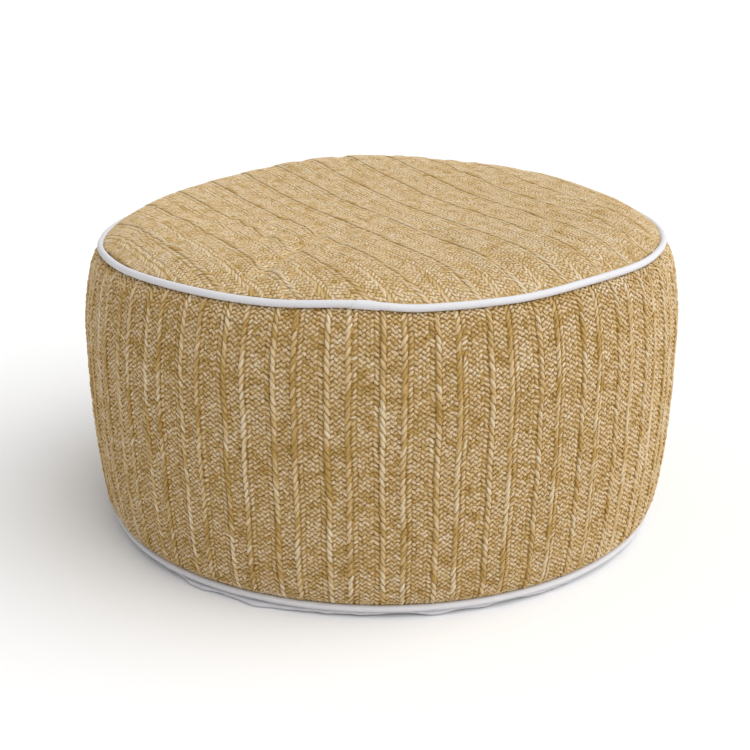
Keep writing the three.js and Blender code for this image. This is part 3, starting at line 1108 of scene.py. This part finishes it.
@dataclass
class StitchField:
    """Stitches of some of the knit's columns, laid row by row over one panel as one mesh."""

    name: str
    knit: Knit
    surface: Surface
    places: Array
    columns: list[Column]
    rows: Array
    shown: Array
    dye: Dye
    seed: int
    stagger: float = 0.25
    wale_slip: float = 0.25
    length_spread: float = 0.16
    width_spread: float = 0.13
    height_spread: float = 0.18
    place_stray: float = 0.22
    row_stray: float = 0.3
    cell_share: float = 0.42
    strand_range: float = 900.0
    strand_across: float = 1.1
    strand_along: float = 0.16
    rng: np.random.Generator = field(init=False)
    dyes: Array = field(init=False)
    shift: Array = field(init=False)

    def __post_init__(self) -> None:
        """Draws the dye of each wale and row, and how far each wale's stitches sit above their row."""
        self.rng = np.random.default_rng(self.seed)
        self.dyes = self.knit.dyes(self.rng, len(self.places), len(self.rows), self.dye)
        pitch = self.rows[1] - self.rows[0]
        leans = np.array([column.lean * (column.wale is Wale.SMALL) for column in self.columns])
        slip = self.rng.uniform(-self.wale_slip, self.wale_slip, len(self.places))
        self.shift = leans * pitch * self.stagger + slip

    def build(self) -> Object:
        """Makes the mesh, with its dye, its strand directions and a map that gives each stitch a cell.

        Returns:
            The new object.
        """
        parts, count = [], 0
        for wale, lean in ((wale, lean) for wale in Wale for lean in (-1, 1)):
            mine = np.array([column.wale is wale and column.lean == lean for column in self.columns])
            wales, rows = np.nonzero(self.shown & mine[:, None])
            if len(wales) == 0:
                continue
            part = self.lay(STITCHES[wale], lean, wales, rows)
            part["triangles"] += count
            count += len(part["points"])
            parts.append(part)
        joined = {key: np.concatenate([part[key] for part in parts]) for key in parts[0]}
        piece = skin(self.name, joined["points"], joined["triangles"])
        mesh = piece.data
        for name in ("dye", "crown"):
            values = mesh.attributes.new(name, "FLOAT", "POINT").data
            values.foreach_set("value", joined[name].astype(np.float32))
        mesh.attributes.new("sharp_face", "BOOLEAN", "FACE").data.foreach_set("value", joined["flat"])
        strand = mesh.attributes.new("strand", "FLOAT_VECTOR", "POINT")
        strand.data.foreach_set("vector", joined["strand"].astype(np.float32).ravel())
        cells = mesh.uv_layers.new(name="OFBake")
        cells.data.foreach_set("uv", joined["cell"][joined["triangles"].ravel()].astype(np.float32).ravel())
        return piece

    def lay(self, form: StitchForm, leaning: int, wales: Array, rows: Array) -> dict[str, Array]:
        """Lays stitches of one form.

        Args:
            form: The stitch.
            leaning: Which way the stitches lean.
            wales: Wale number of each stitch.
            rows: Row number of each stitch.

        Returns:
            Points, triangles, dye, painted crown light, flat faces, strand directions and map cells.
        """
        outline, under, over = form.outline(leaning)
        triangles = np.concatenate([under, over])
        flat = np.arange(len(triangles)) < len(under)
        count, corners, rng = len(wales), len(outline), self.rng
        side, along, rise, sink = outline.T

        def vary(size: float, share: float) -> Array:
            """Size of each stitch, evenly spread about the form's own."""
            return size * (1 + share * rng.uniform(-1, 1, (count, 1)))

        length = vary(form.length, self.length_spread)
        width = vary(form.width, self.width_spread)
        height = vary(form.height, self.height_spread)
        lean = np.radians(leaning * (form.lean + rng.normal(0, form.stray, (count, 1))))
        x, y = side * width / 2, along * length / 2
        place = self.places[wales][:, None] + rng.normal(0, self.place_stray, (count, 1))
        place = place + x * np.cos(lean) + y * np.sin(lean)
        row = (self.rows[rows] + self.shift[wales])[:, None] + rng.normal(0, self.row_stray, (count, 1))
        row = row - x * np.sin(lean) + y * np.cos(lean)
        points = self.surface(place, row, rise * height + sink)
        cell_x = (wales[:, None] + 0.5 + self.cell_share * side) / len(self.places)
        cell_y = (rows[:, None] + 0.5 + self.cell_share * along) / len(self.rows)
        offset = rng.uniform(0, self.strand_range, (count, 1))
        strand_x, strand_y = x * self.strand_across + offset, y * self.strand_along
        strand = np.stack([strand_x, strand_y, np.broadcast_to(offset, x.shape)], -1)
        return {
            "points": points.reshape(-1, 3),
            "triangles": (triangles[None] + corners * np.arange(count)[:, None, None]).reshape(-1, 3),
            "dye": np.repeat(self.dyes[wales, rows], corners),
            # Painted light and shade: the crest's share of the height, scaled by the form's crown.
            "crown": np.tile(form.crown * rise, count),
            "flat": np.tile(flat, count),
            "strand": strand.reshape(-1, 3),
            "cell": np.stack([cell_x, cell_y], -1).reshape(-1, 2),
        }


@dataclass(frozen=True)
class StitchPiece:
    """Piece of stitches: its name, the numbers of its columns in the repeat, and the seed of its draws."""

    name: str
    columns: tuple[int, ...]
    seed: int


@dataclass
class KnitPanel(ABC):
    """Panel of the knitted cover: a closed ground, and the pieces of stitches that are laid over it."""

    shape: PoufShape
    knit: Knit
    node: str
    pieces: tuple[StitchPiece, ...]
    repeats: range
    row_pitch: float
    band_dye: Dye
    rope_dye: Dye
    fill: float = 0.95

    @abstractmethod
    def surface(self, place: Array, row: Array, lift: Array) -> Array:
        """Points on the cloth, at places across the ribs and along them, lifted off the ground."""

    @abstractmethod
    def ground(self) -> Object:
        """Makes the closed ground under the stitches."""

    @abstractmethod
    def rows(self, pitch: float) -> Array:
        """Places of the rows of stitches along the ribs."""

    @abstractmethod
    def shown(self, places: Array, rows: Array) -> Array:
        """Whether each wale has a stitch in each row."""

    def starts(self, count: int) -> Array:
        """Where each repeat starts, once for each of a count of columns or points in it."""
        return np.repeat(self.repeats, count) * self.knit.repeat

    def samples(self) -> Array:
        """Places across the ribs where the ground has points."""
        return self.starts(len(self.knit.samples)) + np.tile(self.knit.samples, len(self.repeats))

    def stitches(self, piece: StitchPiece) -> Object:
        """Makes the stitches of some of the repeat's columns, all over the panel.

        Args:
            piece: The piece that they make up.

        Returns:
            The new object.
        """
        columns = [self.knit.columns[number] for _ in self.repeats for number in piece.columns]
        places = self.starts(len(piece.columns)) + np.array([column.at for column in columns])
        rope = columns[0].wale is Wale.ROPE
        rows = self.rows(self.row_pitch * (self.knit.rope_rows if rope else 1))
        shown = self.shown(places, rows)
        used = shown.any(1)
        kept = [column for column, use in zip(columns, used) if use]
        dye = self.rope_dye if rope else self.band_dye
        laid = (places[used], kept, rows, shown[used])
        return StitchField(piece.name, self.knit, self.surface, *laid, dye, piece.seed).build()

    def build(self, yarn: Material, ground: Material) -> None:
        """Makes and dresses all pieces of the panel.

        Args:
            yarn: Material of the stitches.
            ground: Material of the ground.
        """
        cover = self.ground()
        settle(cover, ground, Slot.KNIT, self.node)
        for piece in self.pieces:
            settle(self.stitches(piece), yarn, Slot.KNIT)


@dataclass
class SideBand(KnitPanel):
    """Side of the cover, from seam to seam, with upright ribs and bands of stitches."""

    node: str = "side_band"
    pieces: tuple[StitchPiece, ...] = (
        StitchPiece("side_rope_ribs", (0, 5), 11),
        StitchPiece("side_rib_borders", (6, 11), 12),
        StitchPiece("side_narrow_bands", (1, 2, 3, 4), 13),
        StitchPiece("side_wide_bands", (7, 8, 9, 10), 14),
    )
    repeats: range = range(40)
    row_pitch: float = 4.1
    band_dye: Dye = Dye(0.5, 0.8, 0.56, 0.15)
    rope_dye: Dye = Dye(1.3, 0.3, 0.57, 0.24)
    ground_rows: int = 56
    seam_rows: tuple[float, ...] = (4.0, 7.0)
    relief_fade: Table = ((0, 0), (0.02, 0.5), (0.1, 1), (0.9, 1), (0.98, 0.5), (1, 0))
    seam_margin: float = 3.4

    def surface(self, place: Array, row: Array, lift: Array) -> Array:
        """Points on the side's cloth.

        Args:
            place: Places round the pouf, counted in the knit's repeats.
            row: Distances up the arc of the side.
            lift: Distances outwards from the ground.

        Returns:
            One row of x, y and z for each point.
        """
        share = self.shape.side_share(row)
        keep = np.interp(share, *columns_of(self.relief_fade))
        drop = (self.knit.depth(place) + self.knit.ground_drop) * keep
        place = place + self.knit.wandering(place, row) * keep
        azimuth = place / self.knit.repeat * 360 / len(self.repeats)
        return self.shape.side_point(azimuth, share, lift - drop)

    def ground(self) -> Object:
        """Makes the closed ground under the stitches.

        Returns:
            The new object.
        """
        length = self.shape.arcs[-1]
        inset = self.shape.seam_gap / 2
        near = np.array(self.seam_rows)
        even = np.linspace(inset, length - inset, self.ground_rows)
        row = np.sort(np.concatenate([even, near, length - near]))
        points = self.surface(self.samples()[None], row[:, None], np.zeros((1, 1)))
        return closed_rings("side_cover", points)

    def rows(self, pitch: float) -> Array:
        """Places of the rows of stitches up the side's arc, with a pitch that is fitted to its length."""
        last = self.shape.arcs[-1] - self.seam_margin
        return np.linspace(self.seam_margin, last, round((last - self.seam_margin) / pitch))

    def shown(self, places: Array, rows: Array) -> Array:
        """Whether each wale has a stitch in each row, which it has all over the side."""
        return np.ones((len(places), len(rows)), bool)


@dataclass
class TopPanel(KnitPanel):
    """Top of the cover, with slanting ribs and bands of stitches over its dome."""

    node: str = "top_panel"
    pieces: tuple[StitchPiece, ...] = (
        StitchPiece("top_rope_ribs", (0, 5), 21),
        StitchPiece("top_bands", (1, 2, 3, 4, 6, 7, 8, 9, 10, 11), 22),
    )
    repeats: range = range(-2, 14)
    row_pitch: float = 3.75
    # The top's dyes lie nearer pale than the side's: painted sheen where the light grazes the top.
    band_dye: Dye = Dye(0.6, 0.9, 0.48, 0.12)
    rope_dye: Dye = Dye(1.3, 0.3, 0.48, 0.17)
    rib_pitch: float = 38.35
    phase: float = -212.0
    ground_columns: int = 141
    ground_margin: float = 4.0
    edge_margin: float = 1.2
    relief: float = 0.47
    flatten: float = 0.46
    stitch_radius: float = 247.6
    rim_drop: float = 0.5

    def across(self, place: Array) -> Array:
        """Distances across the top, at places that are counted in the knit's repeats."""
        return self.phase + place * self.rib_pitch / self.knit.repeat

    def surface(self, place: Array, row: Array, lift: Array) -> Array:
        """Points on the top's cloth.

        Args:
            place: Places across the ribs, counted in the knit's repeats.
            row: Distances along the ribs.
            lift: Distances outwards from the ground.

        Returns:
            One row of x, y and z for each point.
        """
        place, row, lift = np.broadcast_arrays(place, row, lift)
        across = self.across(place + self.knit.wandering(place, row))
        x, y, _ = self.shape.top_plan(across, row)
        fade = self.shape.fade(x, y)
        drop = self.relief * self.knit.depth(place) * fade
        drop += self.knit.ground_drop * (self.rim_drop + (1 - self.rim_drop) * fade)
        return self.shape.top_point(across, row, self.flatten * lift - drop)

    def rim_row(self, along: Array, side: int) -> Array:
        """Row of the ground that follows the rim, where no rib fits any more.

        Args:
            along: Distances along the ribs.
            side: Which side of the top, -1 or 1.

        Returns:
            One row of x, y and z for each point.
        """
        arc = side * np.sqrt(self.shape.top_radius**2 - along**2)
        plan = arc[:, None] * self.shape.across + along[:, None] * self.shape.along
        return np.column_stack([plan, self.shape.top_height(plan[:, 0], plan[:, 1])])

    def ground(self) -> Object:
        """Makes the closed ground under the stitches, with its edge turned in to the seam.

        Returns:
            The new object.
        """
        shape, place = self.shape, self.samples()
        across = self.across(place)
        inside = np.abs(across) < shape.top_radius - self.ground_margin
        edge = shape.top_radius - self.edge_margin
        across = np.concatenate([[-edge], across[inside], [edge]])
        spread = np.sin(np.pi / 2 * np.linspace(-1, 1, self.ground_columns))
        along = shape.crossing(across, shape.top_radius)[:, None] * spread
        inner = self.surface(place[inside][:, None], along[1:-1], np.zeros((1, 1)))
        points = np.concatenate([self.rim_row(along[0], -1)[None], inner, self.rim_row(along[-1], 1)[None]])
        count, columns = points.shape[:2]
        flat = points.reshape(-1, 3)
        number = np.arange(len(flat)).reshape(count, columns)
        rim = np.concatenate([number[:-1, 0], number[-1, :-1], number[:0:-1, -1], number[0, :0:-1]])
        azimuth = azimuth_of(flat[rim, 0], flat[rim, 1])
        inset = shape.seam_gap / 2
        turned_in = around(azimuth, shape.seam_radius - shape.edge_inset, shape.top_seam(azimuth) + inset)
        turned = np.arange(len(rim)) + len(flat)
        middle = np.array([[0, 0, shape.top_seam_height + inset]])
        return skin(
            "top_cover",
            np.concatenate([flat, turned_in, middle]),
            grid_quads(count, columns, False)[:, ::-1],
            np.stack([rim, turned, np.roll(turned, -1), np.roll(rim, -1)], -1),
            fan(turned, len(flat) + len(rim), False),
        )

    def rows(self, pitch: float) -> Array:
        """Places of the rows of stitches along the ribs, on both sides of the top's middle."""
        half = int(self.stitch_radius / pitch)
        return np.arange(-half, half + 1) * pitch

    def shown(self, places: Array, rows: Array) -> Array:
        """Whether each wale has a stitch in each row, which it has inside the seam."""
        x, y, _ = self.shape.top_plan(*np.broadcast_arrays(self.across(places)[:, None], rows[None]))
        return np.hypot(x, y) < self.stitch_radius


@dataclass
class Piping:
    """White piping along a seam, with its cut end lapped over its start."""

    name: str
    node: str
    seam: Callable[[Array], Array]
    lap_azimuth: float
    seam_radius: float = 250.0
    radius: float = 3.0
    sides: int = 18
    steps: int = 540
    weld: float = 0.01
    lap_turn: float = 4.2
    lap_lift: float = 0.6
    lap_wall: float = 1.4
    cut_slants: tuple[float, float] = (0.8, 0.4)
    pucker: float = 0.1
    pucker_rise: float = 0.6
    ripples: tuple[Ripple, ...] = (Ripple(1.0, 31, 2, 7), Ripple(0.6, 53, 3, 5))
    smooth_angle: float = 50.0

    def ring(self) -> Object:
        """Spins the piping's round section about the pouf's axis.

        Returns:
            The closed ring, level and at the height of the floor.
        """
        deselect_all()
        bpy.ops.mesh.primitive_circle_add(
            vertices=self.sides,
            radius=self.radius * MM,
            location=(0, -self.seam_radius * MM, 0),
            rotation=(0, math.pi / 2, 0),
        )
        ring = bpy.context.object
        ring.name = ring.data.name = self.name
        bpy.ops.object.transform_apply(location=True, rotation=True, scale=True)
        bpy.ops.object.mode_set(mode="EDIT")
        bpy.ops.mesh.select_all(action="SELECT")
        bpy.ops.mesh.spin(steps=self.steps, angle=2 * math.pi, center=(0, 0, 0), axis=(0, 0, 1))
        bpy.ops.mesh.select_all(action="SELECT")
        bpy.ops.mesh.remove_doubles(threshold=self.weld * MM)
        bpy.ops.mesh.normals_make_consistent(inside=False)
        bpy.ops.object.mode_set(mode="OBJECT")
        return ring

    def lap(self, ring: Object) -> Object:
        """Cuts the lapped end out of a copy of the ring, with slanting cuts.

        Args:
            ring: The closed ring.

        Returns:
            The lapped end as a closed sleeve.
        """
        make_active(ring)
        bpy.ops.object.duplicate()
        sleeve = bpy.context.object
        bpy.ops.object.mode_set(mode="EDIT")
        for sign, slant in zip((-1, 1), self.cut_slants):
            turn = math.radians(self.lap_azimuth + sign * self.lap_turn / 2)
            bpy.ops.mesh.select_all(action="SELECT")
            across = np.array([math.cos(turn), math.sin(turn), 0.0]) * sign
            normal = across * math.cos(slant) + np.array([0, 0, math.sin(slant)])
            spot = np.array([math.sin(turn), -math.cos(turn), 0.0]) * self.seam_radius * MM
            bpy.ops.mesh.bisect(plane_co=spot, plane_no=normal, clear_outer=True)
        bpy.ops.mesh.select_all(action="SELECT")
        bpy.ops.transform.shrink_fatten(value=self.lap_lift * MM)
        bpy.ops.object.mode_set(mode="OBJECT")
        wall = sleeve.modifiers.new("Wall", "SOLIDIFY")
        wall.thickness = self.lap_wall * self.lap_lift * MM
        wall.offset = -1
        bpy.ops.object.modifier_apply(modifier=wall.name)
        return sleeve

    def follow(self, piece: Object) -> None:
        """Moves the piping along the rise and fall of its seam, with small puckers.

        Args:
            piece: The level piping.
        """
        points = corners_of(piece)
        azimuth = azimuth_of(points[:, 0], points[:, 1])
        turn = np.radians(azimuth)
        wave = sum(ripple.at(turn, turn) for ripple in self.ripples)
        grow = 1 + self.pucker / self.seam_radius * wave
        points[:, :2] *= grow[:, None]
        points[:, 2] += (self.seam(azimuth) + self.pucker_rise * self.pucker * wave) * MM
        piece.data.vertices.foreach_set("co", points.astype(np.float32).ravel())
        piece.data.update()

    def build(self, finish: Material) -> None:
        """Makes and dresses the piping.

        Args:
            finish: Material of the piping.
        """
        ring = self.ring()
        sleeve = self.lap(ring)
        make_active(ring)
        sleeve.select_set(True)
        bpy.ops.object.join()
        self.follow(ring)
        bpy.ops.object.shade_smooth_by_angle(angle=math.radians(self.smooth_angle))
        settle(ring, finish, Slot.PIPING, self.node)


@dataclass
class BaseCloth:
    """White cloth sewn under the pouf, gathered where it turns in from the seam to the floor."""

    shape: PoufShape
    reach: Table = (
        (-66, 5), (-54, 1), (-46, 8), (-38, 15), (-32, 12), (-24, 16), (-14, 10.5), (-6, 9), (-2, 9),
        (2, 4.5), (6, 7), (10, 13), (14.5, 6.5), (18, 9.5), (24, 4), (32, 9), (38, 9), (44, 2), (56, 1),
        (62, 4), (72, 6), (84, 2), (98, 9), (112, 3), (127, 11), (143, 4), (158, 9), (172, 5), (187, 10),
        (203, 3), (220, 10), (238, 4), (252, 8), (266, 2), (280, 8),
    )
    full_reach: float = 16.0
    steps: int = 720
    rows: int = 16
    plain_radius: Table = ((0, 249.6), (0.35, 245), (0.7, 238), (1, 230))
    full_radius: Table = ((0, 249.8), (0.35, 252.8), (0.7, 252.4), (1, 244))
    plain_height: Table = ((0, 4.4), (0.35, 3.1), (0.7, 0.9), (1, 0))
    full_height: Table = ((0, 4.4), (0.35, 3.3), (0.7, 0.7), (1, 0))
    floor_rings: tuple[float, ...] = (220.0, 180.0, 120.0, 60.0)
    pucker: float = 0.7
    least_pucker: float = 0.35
    ripples: tuple[Ripple, ...] = (Ripple(1.0, 47, 4, 5), Ripple(0.7, 83, 3, 9, 1.0))
    cut_radius: float = 256.0

    def gathered(self, share: Array, full: Array, plain_turn: Table, full_turn: Table) -> Array:
        """Blends the plain turn of the cloth with a full gather's, by how full it is at each azimuth."""
        plain, gathered = smooth_curve(share, plain_turn), smooth_curve(share, full_turn)
        return plain + (gathered - plain) * full

    def build(self, finish: Material) -> None:
        """Makes and dresses the base cloth.

        Args:
            finish: Material of the cloth.
        """
        azimuth = np.arange(self.steps) * 360 / self.steps
        turn = np.radians(azimuth)
        full = eased_ring(azimuth, self.reach, 360) / self.full_reach
        share = np.linspace(0, 1, self.rows)[:, None]
        fine = sum(ripple.at(turn, turn) for ripple in self.ripples)
        strength = self.least_pucker + (1 - self.least_pucker) * full
        folds = self.pucker * fine * np.sin(np.pi * share) * strength
        radius = self.gathered(share, full, self.plain_radius, self.full_radius) + folds
        height = self.gathered(share, full, self.plain_height, self.full_height)
        seam_height = self.shape.bottom_seam - self.shape.seam_gap / 2
        seam = around(azimuth, self.shape.seam_radius - self.shape.edge_inset, seam_height)
        floor = [around(azimuth, ring, 0.0) for ring in self.floor_rings]
        points = np.concatenate([seam[None], around(azimuth[None], radius, height), np.stack(floor)])
        rows = len(points)
        flat = points.reshape(-1, 3)
        last = np.arange(self.steps) + (rows - 1) * self.steps
        cloth = skin(
            "base_sheet",
            np.concatenate([flat, [[0, 0, 0]]]),
            grid_quads(rows, self.steps, True)[:, ::-1],
            fan(last, len(flat), False),
        )
        settle(cloth, finish, Slot.BASE, "base_panel")


@dataclass(frozen=True)
class Lamp:
    """Soft far lamp: its strength, the azimuth and height that it shines from, and the width of its disc."""

    name: str
    strength: float
    turn: float
    height: float
    spread: float

    def build(self) -> None:
        """Hangs the lamp."""
        data = bpy.data.lights.new(self.name, "SUN")
        data.energy = self.strength
        data.angle = math.radians(self.spread)
        lamp = bpy.data.objects.new(self.name, data)
        lamp.rotation_euler = (math.radians(90 - self.height), 0, math.radians(self.turn))
        bpy.context.scene.collection.objects.link(lamp)


@dataclass
class Studio:
    """Pale floor, soft light and the camera."""

    camera_at: tuple[float, float, float] = (-5.9, -1244.7, 559.7)
    camera_pitch: float = 0.3415
    lens: float = 67.66
    sensor: float = 36.0
    clip: tuple[float, float] = (50.0, 100000.0)
    floor_size: float = 40000.0
    floor_drop: float = 0.2
    floor_colour: Colour = (0.89, 0.89, 0.89, 1)
    floor_roughness: float = 0.9
    floor_shine: float = 0.1
    sky_colour: Colour = (1, 1, 1, 1)
    sky: float = 0.51
    lamps: tuple[Lamp, ...] = (Lamp("key", 2.43, 62.0, 55.0, 75.0), Lamp("fill", 0.45, 88.0, 15.0, 80.0))

    def floor(self) -> None:
        """Lays the floor."""
        deselect_all()
        bpy.ops.mesh.primitive_plane_add(size=self.floor_size * MM, location=(0, 0, -self.floor_drop * MM))
        floor = bpy.context.object
        floor.name = "floor"
        material = bpy.data.materials.new("pale_floor")
        material.use_nodes = True
        nodes, shader = NodeTree(material.node_tree), material.node_tree.nodes["Principled BSDF"]
        nodes.fill(shader, Base_Color=self.floor_colour, Roughness=self.floor_roughness)
        nodes.fill(shader, Specular_IOR_Level=self.floor_shine)
        floor.data.materials.append(material)

    def camera(self) -> None:
        """Sets up the camera."""
        data = bpy.data.cameras.new("camera")
        data.lens, data.sensor_width, data.sensor_fit = self.lens, self.sensor, "HORIZONTAL"
        data.clip_start, data.clip_end = (distance * MM for distance in self.clip)
        camera = bpy.data.objects.new("camera", data)
        camera.location = [value * MM for value in self.camera_at]
        camera.rotation_euler = (math.pi / 2 - self.camera_pitch, 0, 0)
        bpy.context.scene.collection.objects.link(camera)
        bpy.context.scene.camera = camera

    def build(self) -> None:
        """Sets up the floor, the light and the camera."""
        self.floor()
        world = bpy.data.worlds.new("studio")
        world.use_nodes = True
        sky = world.node_tree.nodes["Background"]
        NodeTree(world.node_tree).fill(sky, Color=self.sky_colour, Strength=self.sky)
        bpy.context.scene.world = world
        for lamp in self.lamps:
            lamp.build()
        bpy.context.scene.view_settings.view_transform = "Standard"
        self.camera()


def main() -> None:
    """Builds the pouf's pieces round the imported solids, then the studio."""
    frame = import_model()
    logging.basicConfig(level=logging.INFO, format="%(name)s: %(message)s")
    LOG.info("packed solids: %s", ", ".join(frame["nodes"]))
    shape = PoufShape()
    AirForm(shape).inflate()
    fibre, weave = fibre_group(), weave_group()
    yarn = YarnFinish(fibre).material("straw_yarn")
    ground = GroundFinish(fibre).material("side_ground")
    # The top's ground gets lighter painted shade in its gaps than the side's.
    pale = GroundFinish(fibre, deep=(0.37, 0.236, 0.075, 1), light=(0.57, 0.41, 0.19, 1))
    pale_ground = pale.material("top_ground")
    smooth = WhiteFinish(weave, threads=9000.0, relief=0.04, roughness=0.65, shine=0.18)
    tape = smooth.material("piping_tape")
    woven = WhiteFinish(weave, threads=5200.0, relief=0.5, roughness=0.8, shine=0.2)
    sheeting = woven.material("base_sheeting")
    SideBand(shape, Knit()).build(yarn, ground)
    TopPanel(shape, Knit(section=TOP_SECTION)).build(yarn, pale_ground)
    Piping("top_cord", "top_piping", shape.top_seam, lap_azimuth=-3.0).build(tape)
    Piping("bottom_cord", "bottom_piping", shape.level_seam, lap_azimuth=180.0).build(tape)
    BaseCloth(shape).build(sheeting)
    Studio().build()


if __name__ == "__main__":
    main()
